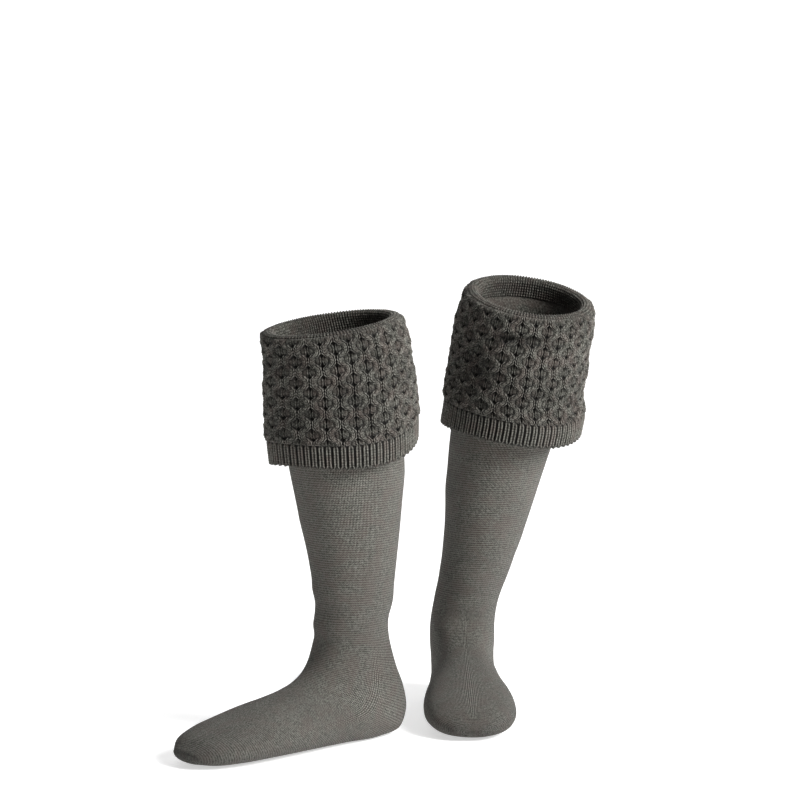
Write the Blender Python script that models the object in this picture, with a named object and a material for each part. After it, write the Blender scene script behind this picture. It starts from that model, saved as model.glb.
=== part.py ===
"""A pair of boot socks as worn, each with a deep cuff turned down over a boot's rim.

Sizes are in millimetres and become metres when a mesh is made. +Z is up. The origin is the
middle of the right sock's opening, at the top of its fold. Right and left are the wearer's:
seen along +Y, the right sock is on the left.
"""
import math

import bmesh
import bpy
import numpy as np

METRES = 0.001

# The cuff: a knitted wall folded over, with ropes raised on its outer side
CUFF_WALL = 2.5
FOLD_RADIUS = 5.25
TURNED_IN = 18.0
ROPE_HEIGHT = 2.6
ROPE_SPREAD = 0.24
ROPE_SWING = 0.25
ROPE_HOLD = 1.35

# Rings over the fold, in quarter turns from its top, and drops of the rings on the hidden face
FOLD_TURNS = (-1.0, -0.5, 0.0, 0.55)
HIDDEN_TURNS = (1.0, 0.0, -1.0)
HIDDEN_DROPS = (80.0, 56.0, 34.0, 16.0)

# The honeycomb: mirrored columns of ropes, counted in columns round and periods down
COLUMNS = 32
PERIODS = 5
HONEYCOMB_TOP = 3.2
HONEYCOMB_BOTTOM = 104.5
POINTS_PER_COLUMN = 4
ROWS_PER_PERIOD = 4

# The 1x1 rib that ends the cuff
HEM_BOTTOM = 128.0
RIBS = 64
RIB_HEIGHT = 1.5
SEAM_GAP = 0.35

# The plain leg and foot inside the boot
LEG_WALL = 2.0
SOLE_HEIGHT = -395.7

# Points round a plain ring of the cuff, and round the leg and foot
PLAIN_POINTS = 32
LEG_POINTS = 20

YARN = {
    "cuff": ((0.12, 0.112, 0.1, 1.0), 0.95),
    "hem": ((0.12, 0.112, 0.1, 1.0), 0.95),
    "leg_and_foot": ((0.11, 0.103, 0.092, 1.0), 0.95),
}

# Outer surface of the turned-down cuff, under its ropes. Drop is measured down the cuff's
# axis from the top of the fold, front and side are half lengths, shift moves the ring in +X.
CUFF_COLUMNS = ("drop", "front", "side", "shift")
RIGHT_CUFF = (
    (0, 65.5, 59.5, -0.5),
    (16, 66.5, 60.5, 1.5),
    (30, 68.0, 62.0, 2.0),
    (50, 69.5, 63.5, 1.6),
    (70, 70.3, 63.9, 1.1),
    (90, 71.0, 64.5, 0.2),
    (105, 71.5, 65.0, 0.0),
    (128, 70.5, 64.0, -1.0),
)
LEFT_CUFF = (
    (0, 66.5, 60.5, 2.2),
    (16, 69.0, 63.0, 1.5),
    (30, 71.0, 64.5, 0.0),
    (45, 70.5, 64.0, -1.3),
    (65, 71.5, 65.0, -1.0),
    (85, 71.5, 65.0, -2.8),
    (98, 72.5, 66.3, -2.0),
    (105, 74.0, 67.5, -0.5),
    (128, 75.0, 68.0, -1.0),
)

# Soft folds of the cuff. Around is in degrees from the front, drop in mm; the long way runs
# at slant degrees from level, and depth is inward.
FOLD_COLUMNS = ("around", "drop", "length", "width", "slant", "depth")
RIGHT_FOLDS = (
    (-52, 8, 9, 7, 70, -2.5),
    (-30, 34, 26, 9, 12, 1.2),
    (62, 60, 30, 10, -60, 1.4),
    (150, 42, 34, 9, 25, 2.0),
    (205, 76, 30, 10, -35, 1.8),
    (255, 40, 26, 9, 50, 1.5),
)
LEFT_FOLDS = (
    (-38, 24, 24, 6, -38, 2.6),
    (-30, 14, 22, 6, -38, -1.4),
    (-42, 62, 20, 16, -60, 2.2),
    (58, 78, 26, 10, 65, 1.6),
    (120, 46, 32, 9, -30, 2.0),
    (175, 80, 30, 10, 20, 1.8),
    (238, 50, 28, 9, 40, 1.8),
)

# Centre line of each leg below the cuff's seam, from just under the knee to the ankle.
# Height is above the sole; front and side are half lengths of the outer wall.
LEG_COLUMNS = ("height", "x", "y", "front", "side")
RIGHT_LEG = (
    (340, 6.5, 5.0, 58.5, 52.5),
    (300, 9.5, 8.5, 58.0, 52.0),
    (258, 13.7, 13.0, 55.0, 49.5),
    (215, 16.5, 18.5, 49.0, 44.5),
    (170, 18.8, 24.5, 42.0, 38.5),
    (130, 19.0, 31.0, 37.5, 34.0),
    (104, 17.0, 36.0, 36.5, 32.0),
)
LEFT_LEG = (
    (352, 178.0, 171.5, 58.5, 53.0),
    (306, 169.0, 176.5, 58.0, 52.5),
    (262, 161.0, 182.0, 55.5, 50.0),
    (215, 152.5, 188.5, 49.5, 44.5),
    (170, 144.5, 195.5, 42.0, 38.5),
    (130, 135.5, 203.5, 37.5, 34.0),
    (104, 128.5, 209.0, 36.5, 32.0),
)

# The foot: each section runs from a point over the instep to a point at the heel or sole.
# Forward is measured from the ankle's centre, up from the sole, side is a half width.
FOOT_COLUMNS = ("front", "front_up", "back", "back_up", "side")
FOOT = (
    (37, 87, -46, 68, 32),
    (43, 76, -56, 46, 32),
    (52, 67, -61, 24, 31),
    (62, 61, -54, 6, 31),
    (74, 56, -28, 0, 33),
    (92, 51, 14, 0, 36),
    (114, 46, 60, 0, 41),
    (138, 39, 106, 0, 44),
    (162, 32, 146, 0, 42),
    (180, 25, 170, 0.8, 34),
    (190, 17, 186, 3.5, 21),
)
TOE_TIP = 193.0
FOOT_ROUNDNESS = 2.4

# Each sock's place: heading is the way the toes point, the slopes are the rise of the ring's
# plane per mm in x and y, dip is how far the hem sways out of that plane on two opposite
# quarters, and first_column is the angle of a cell's middle line.
SOCKS = {
    "right": {
        "heading": 219.7,
        "crest": (0.0, 0.0, 0.0),
        "hem": (12.0, 9.0, -118.2),
        "crest_slope": (0.119, 0.085),
        "hem_slope": (0.162, 0.140),
        "dip": 6.4,
        "cuff": RIGHT_CUFF,
        "folds": RIGHT_FOLDS,
        "leg": RIGHT_LEG,
        "ankle": (15.5, 38.5),
        "first_column": 20.6,
    },
    "left": {
        "heading": 272.0,
        "crest": (186.4, 165.0, 13.4),
        "hem": (172.4, 178.0, -114.7),
        "crest_slope": (-0.132, 0.225),
        "hem_slope": (-0.063, 0.149),
        "dip": 3.3,
        "cuff": LEFT_CUFF,
        "folds": LEFT_FOLDS,
        "leg": LEFT_LEG,
        "ankle": (125.0, 213.0),
        "first_column": 1.4,
    },
}


def table(rows, columns):
    """A table's rows as one array for each named column."""
    return {name: np.array([row[i] for row in rows], float) for i, name in enumerate(columns)}


def smooth(keys, values, at):
    """Read a table between its rows on a smooth curve that keeps each row's value."""
    order = np.argsort(keys)
    keys, values = keys[order], values[order]
    slopes = np.gradient(values, keys)
    at = min(max(at, keys[0]), keys[-1])
    i = min(int(np.searchsorted(keys, at, side="right")) - 1, len(keys) - 2)
    span = keys[i + 1] - keys[i]
    t = (at - keys[i]) / span
    return ((1 + 2 * t) * (1 - t) ** 2 * values[i] + t * (1 - t) ** 2 * span * slopes[i]
            + t * t * (3 - 2 * t) * values[i + 1] + t * t * (t - 1) * span * slopes[i + 1])


def heading(sock):
    """The directions of the toes and of the side that is a quarter turn on from them."""
    angle = math.radians(sock["heading"])
    forward = np.array([math.cos(angle), math.sin(angle), 0.0])
    side = np.array([-math.sin(angle), math.cos(angle), 0.0])
    return forward, side


def fold_depth(sock, around, drop):
    """How far the soft folds push the cuff inward at an angle and a drop."""
    rows = table(sock["folds"], FOLD_COLUMNS)
    reach = smooth(*cuff_column(sock, "front"), drop)
    away = (around - np.radians(rows["around"]) + math.pi) % (2 * math.pi) - math.pi
    across, down = away * reach, drop - rows["drop"]
    slant = np.radians(rows["slant"])
    along = across * np.cos(slant) - down * np.sin(slant)
    over = across * np.sin(slant) + down * np.cos(slant)
    bumps = rows["depth"] * np.exp(-(along / rows["length"]) ** 2 - (over / rows["width"]) ** 2)
    return float(bumps.sum())


def cuff_column(sock, name):
    """The drops of a cuff's sections and one of its columns, to read with smooth."""
    rows = table(sock["cuff"], CUFF_COLUMNS)
    return rows["drop"], rows[name]


def cuff_point(sock, around, inset, drop):
    """A point of the cuff, an inset in from its outer surface and a drop below its crest."""
    forward, side = heading(sock)
    inset = inset + fold_depth(sock, around, max(drop, 0.0))
    share = drop / HEM_BOTTOM
    centre = np.array(sock["crest"]) + share * (np.array(sock["hem"]) - np.array(sock["crest"]))
    centre[0] += smooth(*cuff_column(sock, "shift"), drop)
    half_front = smooth(*cuff_column(sock, "front"), drop) - inset
    half_side = smooth(*cuff_column(sock, "side"), drop) - inset
    out = half_front * math.cos(around) * forward + half_side * math.sin(around) * side
    slope = (1 - share) * np.array(sock["crest_slope"]) + share * np.array(sock["hem_slope"])
    sway = sock["dip"] * share * math.sin(2 * (math.radians(sock["heading"]) + around))
    return centre + out + np.array([0.0, 0.0, slope @ out[:2] + sway])


def fold_path(arc, height):
    """Inset and drop at a length along the fold's outer face, counted outward from its crest.

    Height is measured out of that face, so minus the wall's thickness is its hidden face.
    """
    quarter = FOLD_RADIUS * math.pi / 2
    if arc > quarter:
        return -height, FOLD_RADIUS + arc - quarter
    if arc < -quarter:
        return 2 * FOLD_RADIUS + height, FOLD_RADIUS - arc - quarter
    lean = arc / FOLD_RADIUS
    reach = FOLD_RADIUS + height
    return FOLD_RADIUS - reach * math.sin(lean), FOLD_RADIUS - reach * math.cos(lean)


def arc_at_drop(drop):
    """The length along the fold's outer face that lies a drop below the crest."""
    return FOLD_RADIUS * math.pi / 2 + drop - FOLD_RADIUS


def rope_sway(period):
    """Where the upper rope runs, from 1 at a hold to -1 half a period on, with flat holds."""
    return max(-1.0, min(1.0, ROPE_HOLD * math.cos(2 * math.pi * period)))


def rope_height(column, period):
    """How far the crossing ropes stand out, at a place in columns round and periods down."""
    index = math.floor(column)
    sway = rope_sway(period) * (1 if index % 2 == 0 else -1)
    height = 0.0
    for step in (-1, 0, 1):
        neighbour = sway if step == 0 else -sway
        away = (column - index) - (step + 0.5 + ROPE_SWING * neighbour)
        height = max(height, math.exp(-(away / ROPE_SPREAD) ** 2))
    return ROPE_HEIGHT * height


def rib_height(rib):
    """How far the hem's ribs stand out, at a place in ribs round."""
    return RIB_HEIGHT * (0.5 + 0.5 * math.cos(2 * math.pi * rib))


def ring(sock, count, arc, height):
    """A ring of the cuff at a length along the fold, its height constant or by angle."""
    points = []
    for i in range(count):
        share = i / count
        around = math.radians(sock["first_column"]) + 2 * math.pi * share
        lift = height(share) if callable(height) else height
        points.append(cuff_point(sock, around, *fold_path(arc, lift)))
    return points


def bridge(mesh, lower, upper):
    """Join two closed rings of any two counts with a band of faces."""
    if len(lower) == len(upper):
        for i in range(len(lower)):
            j = (i + 1) % len(lower)
            mesh.faces.new((lower[i], lower[j], upper[j], upper[i]))
        return
    i = j = 0
    while i < len(lower) or j < len(upper):
        if j == len(upper) or (i < len(lower) and (i + 1) * len(upper) <= (j + 1) * len(lower)):
            mesh.faces.new((lower[i % len(lower)], lower[(i + 1) % len(lower)], upper[j % len(upper)]))
            i += 1
        else:
            mesh.faces.new((lower[i % len(lower)], upper[(j + 1) % len(upper)], upper[j % len(upper)]))
            j += 1


def solid(name, kind, rings, caps=None):
    """One closed body through rings of points, joined end to end or closed by cap points."""
    mesh = bmesh.new()
    loops = [[mesh.verts.new(np.array(point) * METRES) for point in points] for points in rings]
    for first, second in zip(loops, loops[1:]):
        bridge(mesh, first, second)
    if caps is None:
        bridge(mesh, loops[-1], loops[0])
    else:
        for loop, cap in zip((loops[0], loops[-1]), caps):
            tip = mesh.verts.new(np.array(cap) * METRES)
            for i in range(len(loop)):
                mesh.faces.new((loop[i], loop[(i + 1) % len(loop)], tip))
    bmesh.ops.recalc_face_normals(mesh, faces=mesh.faces)
    if mesh.calc_volume(signed=True) < 0:
        bmesh.ops.reverse_faces(mesh, faces=mesh.faces)
    data = bpy.data.meshes.new(name)
    mesh.to_mesh(data)
    mesh.free()
    data.shade_smooth()
    data.materials.append(yarn(kind))
    made = bpy.data.objects.new(name, data)
    bpy.context.scene.collection.objects.link(made)
    return made


def yarn(kind):
    """The knitted yarn of one kind of piece, grey with a little olive."""
    if kind in bpy.data.materials:
        return bpy.data.materials[kind]
    colour, roughness = YARN[kind]
    material = bpy.data.materials.new(kind)
    material.use_nodes = True
    shader = material.node_tree.nodes["Principled BSDF"]
    shader.inputs["Base Color"].default_value = colour
    shader.inputs["Roughness"].default_value = roughness
    shader.inputs["Metallic"].default_value = 0.0
    return material


def make_cuff(side, sock):
    """The turned-down cuff: over the fold, down the honeycomb and back up its hidden face."""
    top, bottom = arc_at_drop(HONEYCOMB_TOP), arc_at_drop(HONEYCOMB_BOTTOM)
    quarter = FOLD_RADIUS * math.pi / 2
    inner_end = -arc_at_drop(TURNED_IN)
    rings = [ring(sock, PLAIN_POINTS, inner_end, 0.0)]
    for turn in FOLD_TURNS:
        rings.append(ring(sock, PLAIN_POINTS, turn * quarter, 0.0))
    for row in range(PERIODS * ROWS_PER_PERIOD + 1):
        period = row / ROWS_PER_PERIOD
        arc = top + (bottom - top) * period / PERIODS
        rings.append(ring(sock, COLUMNS * POINTS_PER_COLUMN, arc,
                          lambda share: rope_height(share * COLUMNS, period)))
    for drop in (HONEYCOMB_BOTTOM, *HIDDEN_DROPS):
        rings.append(ring(sock, PLAIN_POINTS, arc_at_drop(drop), -CUFF_WALL))
    for turn in HIDDEN_TURNS:
        rings.append(ring(sock, PLAIN_POINTS, turn * quarter, -CUFF_WALL))
    rings.append(ring(sock, PLAIN_POINTS, inner_end, -CUFF_WALL))
    return solid(f"{side}_cuff", "cuff", rings)


def make_hem(side, sock):
    """The ribbed hem: two points a rib outside, plain inside."""
    top = arc_at_drop(HONEYCOMB_BOTTOM + SEAM_GAP)
    middle = arc_at_drop((HONEYCOMB_BOTTOM + HEM_BOTTOM) / 2)
    bottom = arc_at_drop(HEM_BOTTOM)
    rings = []
    for arc in (top, middle, bottom):
        rings.append(ring(sock, 2 * RIBS, arc, lambda share: rib_height(share * RIBS)))
    for arc in (bottom, middle, top):
        rings.append(ring(sock, PLAIN_POINTS, arc, -CUFF_WALL))
    return solid(f"{side}_hem", "hem", rings)


def leg_ring(sock, height, shrink):
    """A level ring of the leg at a height above the sole."""
    rows = table(sock["leg"], LEG_COLUMNS)
    forward, side = heading(sock)
    x, y, front, width = (smooth(rows["height"], rows[name], height)
                          for name in ("x", "y", "front", "side"))
    centre = np.array([x, y, SOLE_HEIGHT + height])
    points = []
    for i in range(LEG_POINTS):
        around = 2 * math.pi * i / LEG_POINTS
        points.append(centre + (front - shrink) * math.cos(around) * forward
                      + (width - shrink) * math.sin(around) * side)
    return points


def foot_ring(sock, row, shrink):
    """A section of the foot, from its front point to its back point, a rounded oblong."""
    forward, side = heading(sock)
    ankle = np.array([sock["ankle"][0], sock["ankle"][1], SOLE_HEIGHT])
    front = row["front"] * forward + np.array([0.0, 0.0, row["front_up"]])
    back = row["back"] * forward + np.array([0.0, 0.0, row["back_up"]])
    middle, half = (front + back) / 2, (front - back) / 2
    length = np.linalg.norm(half)
    points = []
    for i in range(LEG_POINTS):
        around = 2 * math.pi * i / LEG_POINTS
        power = 2 / FOOT_ROUNDNESS
        across = math.copysign(abs(math.sin(around)) ** power, math.sin(around))
        along = math.copysign(abs(math.cos(around)) ** power, math.cos(around))
        points.append(ankle + middle + half / length * (length - shrink) * along
                      + (row["side"] - shrink) * across * side)
    return points


def make_leg_and_foot(side, sock):
    """The plain tube from the cuff's seam to the closed toe, outside and then inside."""
    rows = [dict(zip(FOOT_COLUMNS, row)) for row in FOOT]
    heights = sorted(table(sock["leg"], LEG_COLUMNS)["height"], reverse=True)
    forward, _ = heading(sock)
    ankle = np.array([sock["ankle"][0], sock["ankle"][1], SOLE_HEIGHT])
    seam = -arc_at_drop(TURNED_IN + SEAM_GAP)
    walls, tips = [], []
    for shrink in (0.0, LEG_WALL):
        mouth = [cuff_point(sock, 2 * math.pi * i / LEG_POINTS, *fold_path(seam, shrink - CUFF_WALL))
                 for i in range(LEG_POINTS)]
        rings = [mouth] + [leg_ring(sock, height, shrink) for height in heights]
        rings += [foot_ring(sock, row, shrink) for row in rows]
        tip_up = (rows[-1]["front_up"] + rows[-1]["back_up"]) / 2
        tips.append(ankle + (TOE_TIP - shrink) * forward + np.array([0.0, 0.0, tip_up]))
        walls.append(rings)
    outer, inner = walls
    return solid(f"{side}_leg_and_foot", "leg_and_foot", outer[::-1] + inner, caps=tips)


def main():
    for old in list(bpy.data.objects):
        bpy.data.objects.remove(old, do_unlink=True)
    for side, sock in SOCKS.items():
        make_cuff(side, sock)
        make_hem(side, sock)
        make_leg_and_foot(side, sock)


main()
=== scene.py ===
# %% [markdown]
# # A pair of boot socks with turned-down honeycomb cuffs
#
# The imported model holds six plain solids: a cuff, a ribbed hem and a plain leg with its foot
# for each sock. This lesson dresses them as knitting. Every piece is built on the same curves
# as its solid, so nothing has to be fitted by eye, and all sizes here are in millimetres until
# a mesh is made.

import math

import bpy
import numpy as np
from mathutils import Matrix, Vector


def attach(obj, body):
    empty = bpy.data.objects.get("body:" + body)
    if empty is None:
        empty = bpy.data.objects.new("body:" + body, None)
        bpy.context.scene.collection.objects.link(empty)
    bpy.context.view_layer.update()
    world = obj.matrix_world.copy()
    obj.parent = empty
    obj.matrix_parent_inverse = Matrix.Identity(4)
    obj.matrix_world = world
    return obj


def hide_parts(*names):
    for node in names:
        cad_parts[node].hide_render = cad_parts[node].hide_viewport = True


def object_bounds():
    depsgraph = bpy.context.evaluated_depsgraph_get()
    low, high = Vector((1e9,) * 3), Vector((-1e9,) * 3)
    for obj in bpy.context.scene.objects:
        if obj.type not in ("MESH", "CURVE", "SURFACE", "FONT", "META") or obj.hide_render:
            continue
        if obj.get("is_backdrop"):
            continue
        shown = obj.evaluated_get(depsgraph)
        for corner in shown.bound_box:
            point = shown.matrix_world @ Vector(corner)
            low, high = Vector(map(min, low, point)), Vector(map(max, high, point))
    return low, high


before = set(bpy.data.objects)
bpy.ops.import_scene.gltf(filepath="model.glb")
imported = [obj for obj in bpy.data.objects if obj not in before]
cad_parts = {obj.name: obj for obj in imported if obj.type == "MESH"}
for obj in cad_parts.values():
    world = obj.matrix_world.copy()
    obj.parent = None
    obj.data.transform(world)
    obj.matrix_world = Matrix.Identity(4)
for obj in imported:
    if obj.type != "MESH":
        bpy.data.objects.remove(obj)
cad_box = [list(corner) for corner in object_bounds()]
MM = 0.001
print("nodes:", sorted(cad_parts))
print("CAD box:", [[round(value, 3) for value in corner] for corner in cad_box])

# %% [markdown]
# ## The shape of each cuff
#
# A worn cuff is never a true cylinder: it leans, opens towards its hem and sags a little. Such
# a shape could be sculpted, or draped by simulation, but a turned-down cuff is stretched over
# its fold and hangs evenly from it, so rings of a slowly changing oval are enough.
# Each row below is one ring: how far down it lies, its half lengths to the front and to the
# side, and how far it moves to the right.

# %% Sizes of the cuffs
FOLD_RADIUS = 5.25
CUFF_WALL = 2.5
TURNED_IN = 18.0
HEM_BOTTOM = 128.0
HONEYCOMB_TOP = 3.2
HONEYCOMB_BOTTOM = 104.5
SOLE_HEIGHT = -395.7

RINGS_RIGHT = np.array([
    (0, 65.5, 59.5, -0.5), (16, 66.5, 60.5, 1.5), (30, 68.0, 62.0, 2.0), (50, 69.5, 63.5, 1.6),
    (70, 70.3, 63.9, 1.1), (90, 71.0, 64.5, 0.2), (105, 71.5, 65.0, 0.0), (128, 70.5, 64.0, -1.0),
])
RINGS_LEFT = np.array([
    (0, 66.5, 60.5, 2.2), (16, 69.0, 63.0, 1.5), (30, 71.0, 64.5, 0.0), (45, 70.5, 64.0, -1.3),
    (65, 71.5, 65.0, -1.0), (85, 71.5, 65.0, -2.8), (98, 72.5, 66.3, -2.0),
    (105, 74.0, 67.5, -0.5), (128, 75.0, 68.0, -1.0),
])
print("rings:", len(RINGS_RIGHT), "right,", len(RINGS_LEFT), "left")

# %% [markdown]
# ## Soft folds
#
# Heavy knitting doesn't crease, it rolls. A fold is a long shallow trough with rounded ends,
# so each one is a bell curve along its own slanted line, and a negative depth makes a ridge.
# The right cuff's rows are those of its solid. On the left cuff the first two rows are the
# solid's crease made deeper and nearer the front, and the low ridge of the fourth row is made
# here alone. A row says: degrees round from the front, drop, length, width, slant and depth
# inward.

# %% Folds of the cuffs
FOLDS_RIGHT = np.array([
    (-52, 8, 9, 7, 70, -2.5), (-30, 34, 26, 9, 12, 1.2), (62, 60, 30, 10, -60, 1.4),
    (150, 42, 34, 9, 25, 2.0), (205, 76, 30, 10, -35, 1.8), (255, 40, 26, 9, 50, 1.5),
])
FOLDS_LEFT = np.array([
    (-13, 24, 28, 4.5, 6, 4.6), (-13, 15, 26, 6, 6, -1.9), (-42, 62, 20, 16, -60, 2.2),
    (-4, 62, 32, 12, 90, -1.7),
    (58, 78, 26, 10, 65, 1.6), (120, 46, 32, 9, -30, 2.0), (175, 80, 30, 10, 20, 1.8),
    (238, 50, 28, 9, 40, 1.8),
])
print("folds:", len(FOLDS_RIGHT), "right,", len(FOLDS_LEFT), "left")

# %% [markdown]
# ## The legs and feet
#
# Below the turned-in cuff the sock is a plain tube that follows the shin and calf, turns at
# the heel and closes at the toe. The leg is a stack of level ovals; the foot is a fan of
# rounded sections, each from a point over the instep to a point at the heel or sole.

# %% Sizes of the legs and feet
LEG_RIGHT = np.array([
    (340, 6.5, 5.0, 58.5, 52.5), (300, 9.5, 8.5, 58.0, 52.0), (258, 13.7, 13.0, 55.0, 49.5),
    (215, 16.5, 18.5, 49.0, 44.5), (170, 18.8, 24.5, 42.0, 38.5), (130, 19.0, 31.0, 37.5, 34.0),
    (104, 17.0, 36.0, 36.5, 32.0),
])
LEG_LEFT = np.array([
    (352, 178.0, 171.5, 58.5, 53.0), (306, 169.0, 176.5, 58.0, 52.5),
    (262, 161.0, 182.0, 55.5, 50.0), (215, 152.5, 188.5, 49.5, 44.5),
    (170, 144.5, 195.5, 42.0, 38.5), (130, 135.5, 203.5, 37.5, 34.0),
    (104, 128.5, 209.0, 36.5, 32.0),
])
FOOT = np.array([
    (37, 87, -46, 68, 32), (43, 76, -56, 46, 32), (52, 67, -61, 24, 31), (62, 61, -54, 6, 31),
    (74, 56, -28, 0, 33), (92, 51, 14, 0, 36), (114, 46, 60, 0, 41), (138, 39, 106, 0, 44),
    (162, 32, 146, 0, 42), (180, 25, 170, 0.8, 34), (190, 17, 186, 3.5, 21),
])
TOE_TIP = 193.0
FOOT_ROUNDNESS = 2.4
LEG_WALL = 2.0
print("leg rings:", len(LEG_RIGHT), "and foot sections:", len(FOOT))

# %% [markdown]
# ## Where each sock stands
#
# Both socks share one recipe, and a small table says how they differ: where the toes point,
# where the fold and the hem have their middles and how those rings slope. Worn knitting is
# also pulled to one side. The row called stretched turns the stitches round the cuff: the
# place in degrees from the front, the turn there, and how far before and after it the turn
# fades out.

# %% Place the two socks
SOCKS = {
    "right": {
        "heading": math.radians(219.7), "first_column": math.radians(20.6), "dip": 6.4,
        "crest": np.array((0.0, 0.0, 0.0)), "hem": np.array((12.0, 9.0, -118.2)),
        "crest_slope": np.array((0.119, 0.085)), "hem_slope": np.array((0.162, 0.140)),
        "ankle": np.array((15.5, 38.5, SOLE_HEIGHT)),
        "rings": RINGS_RIGHT, "folds": FOLDS_RIGHT, "leg": LEG_RIGHT,
        "stretched": (-29, -14, 110, 55),
    },
    "left": {
        "heading": math.radians(272.0), "first_column": math.radians(1.4), "dip": 3.3,
        "crest": np.array((186.4, 165.0, 13.4)), "hem": np.array((172.4, 178.0, -114.7)),
        "crest_slope": np.array((-0.132, 0.225)), "hem_slope": np.array((-0.063, 0.149)),
        "ankle": np.array((125.0, 213.0, SOLE_HEIGHT)),
        "rings": RINGS_LEFT, "folds": FOLDS_LEFT, "leg": LEG_LEFT,
        "stretched": (0, 0, 90, 90),
    },
}
for side, sock in SOCKS.items():
    print(side, "sock heads to", round(math.degrees(sock["heading"]), 1), "degrees")

# %% [markdown]
# ## Reading a table on a smooth curve
#
# Between two rows of a table the cuff must not show a kink, so values are read on a cubic
# that passes through every row. Blender's own curves could do this too, but a few lines of
# numpy read ten thousand points at once.

# %% A smooth reading
def smooth(keys, values, at):
    """Values between the rows of a table, on a curve through every row."""
    order = np.argsort(keys)
    keys, values = keys[order], values[order]
    slopes = np.gradient(values, keys)
    at = np.clip(at, keys[0], keys[-1])
    i = np.clip(np.searchsorted(keys, at, side="right") - 1, 0, len(keys) - 2)
    span = keys[i + 1] - keys[i]
    t = (at - keys[i]) / span
    return ((1 + 2 * t) * (1 - t) ** 2 * values[i] + t * (1 - t) ** 2 * span * slopes[i]
            + t * t * (3 - 2 * t) * values[i + 1] + t * t * (t - 1) * span * slopes[i + 1])


def patchy(around, down, seed, across=9, rows=7):
    """Slow uneven values from -1 to 1 that join up all round; around and down run 0 to 1."""
    lattice = np.random.default_rng(seed).uniform(-1, 1, (rows + 1, across))
    x, y = (around % 1) * across, np.clip(down, 0, 1) * (rows - 1e-6)
    i, j = np.floor(x).astype(int), np.floor(y).astype(int)
    fx, fy = x - i, y - j
    fx, fy = fx * fx * (3 - 2 * fx), fy * fy * (3 - 2 * fy)
    left, right = i % across, (i + 1) % across
    upper = lattice[j, left] * (1 - fx) + lattice[j, right] * fx
    lower = lattice[j + 1, left] * (1 - fx) + lattice[j + 1, right] * fx
    return upper * (1 - fy) + lower * fy


print("half way between rings:", round(float(smooth(RINGS_RIGHT[:, 0], RINGS_RIGHT[:, 1], 40)), 2))

# %% [markdown]
# ## From a place in the knitting to a point in space
#
# Knitting is easiest to describe in its own terms: how far round, how far along from the top
# of the fold, and how high out of the face. One function turns those three into a point. The
# path runs up the turned-in side, over the fold and down the outside, so a stitch can be
# placed anywhere on the cuff and will follow the fold by itself. A last helper says how much
# a deep fold hides the light, and so how much shade is painted into the yarn inside it.

# %% The cuff's surface
def headings(sock):
    """The directions of the toes and of the side a quarter turn on."""
    angle = sock["heading"]
    forward = np.array((math.cos(angle), math.sin(angle), 0.0))
    across = np.array((-math.sin(angle), math.cos(angle), 0.0))
    return forward, across


def fold_depth(sock, around, drop):
    """How far the soft folds push the cuff inward."""
    reach = smooth(sock["rings"][:, 0], sock["rings"][:, 1], drop)
    depth = np.zeros(np.broadcast(around, drop).shape)
    for degrees, middle, length, width, slant, deep in sock["folds"]:
        away = (around - math.radians(degrees) + math.pi) % (2 * math.pi) - math.pi
        across, down = away * reach, drop - middle
        turn = math.radians(slant)
        along = across * math.cos(turn) - down * math.sin(turn)
        over = across * math.sin(turn) + down * math.cos(turn)
        depth += deep * np.exp(-(along / length) ** 2 - (over / width) ** 2)
    return depth


def cuff_point(sock, around, inset, drop):
    """Points of the cuff, an inset in from its outer face and a drop below its crest."""
    forward, side = headings(sock)
    around, inset, drop = np.broadcast_arrays(around, inset, drop)
    inset = inset + fold_depth(sock, around, np.maximum(drop, 0.0))
    share = (drop / HEM_BOTTOM)[..., None]
    rings = sock["rings"]
    centre = sock["crest"] + share * (sock["hem"] - sock["crest"])
    centre = centre + smooth(rings[:, 0], rings[:, 3], drop)[..., None] * np.array((1.0, 0.0, 0.0))
    half_front = smooth(rings[:, 0], rings[:, 1], drop) - inset
    half_side = smooth(rings[:, 0], rings[:, 2], drop) - inset
    out = ((half_front * np.cos(around))[..., None] * forward
           + (half_side * np.sin(around))[..., None] * side)
    slope = (1 - share) * sock["crest_slope"] + share * sock["hem_slope"]
    sway = sock["dip"] * share[..., 0] * np.sin(2 * (sock["heading"] + around))
    point = centre + out
    point[..., 2] += (slope * out[..., :2]).sum(-1) + sway
    return point


def fold_path(arc, height):
    """Inset and drop at a length along the outer face from its crest, and a height out of it."""
    arc, height = np.broadcast_arrays(arc, height)
    quarter = FOLD_RADIUS * math.pi / 2
    lean = np.clip(arc, -quarter, quarter) / FOLD_RADIUS
    reach = FOLD_RADIUS + height
    inset = FOLD_RADIUS - reach * np.sin(lean)
    drop = FOLD_RADIUS - reach * np.cos(lean) + np.maximum(np.abs(arc) - quarter, 0.0)
    return inset, drop


def arc_at_drop(drop):
    """The length along the outer face that lies a drop below the crest."""
    return FOLD_RADIUS * math.pi / 2 + drop - FOLD_RADIUS


COLUMNS = 32
CREASE_SHADE_AMOUNT = 0.11


def eased(around, place, turn, before, after):
    """Angles moved by up to a turn near a place, where the knitting is stretched to one side."""
    away = (around - place + math.pi) % (2 * math.pi) - math.pi
    share = np.clip(np.where(away < 0, -away / before, away / after), 0, 1)
    return around + turn * (0.5 + 0.5 * np.cos(math.pi * share))


def angle_at(sock, column):
    """The angle round from the toes at a place round in columns."""
    around = sock["first_column"] + 2 * math.pi * np.asarray(column, float) / COLUMNS
    return eased(around, *np.radians(sock["stretched"]))


def knit_point(sock, column, arc, height):
    """Points at a place round in columns, along in mm and out of the face in mm."""
    return cuff_point(sock, angle_at(sock, column), *fold_path(arc, height))


def crease_shade(sock, column, arc):
    """How much a deep fold hides the light at a place, from 0 to about a half."""
    drop = np.maximum(fold_path(arc, 0.0)[1], 0.0)
    # This much painted shade is added to the yarn in deep folds.
    return CREASE_SHADE_AMOUNT * np.maximum(fold_depth(sock, angle_at(sock, column), drop), 0.0)


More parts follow.
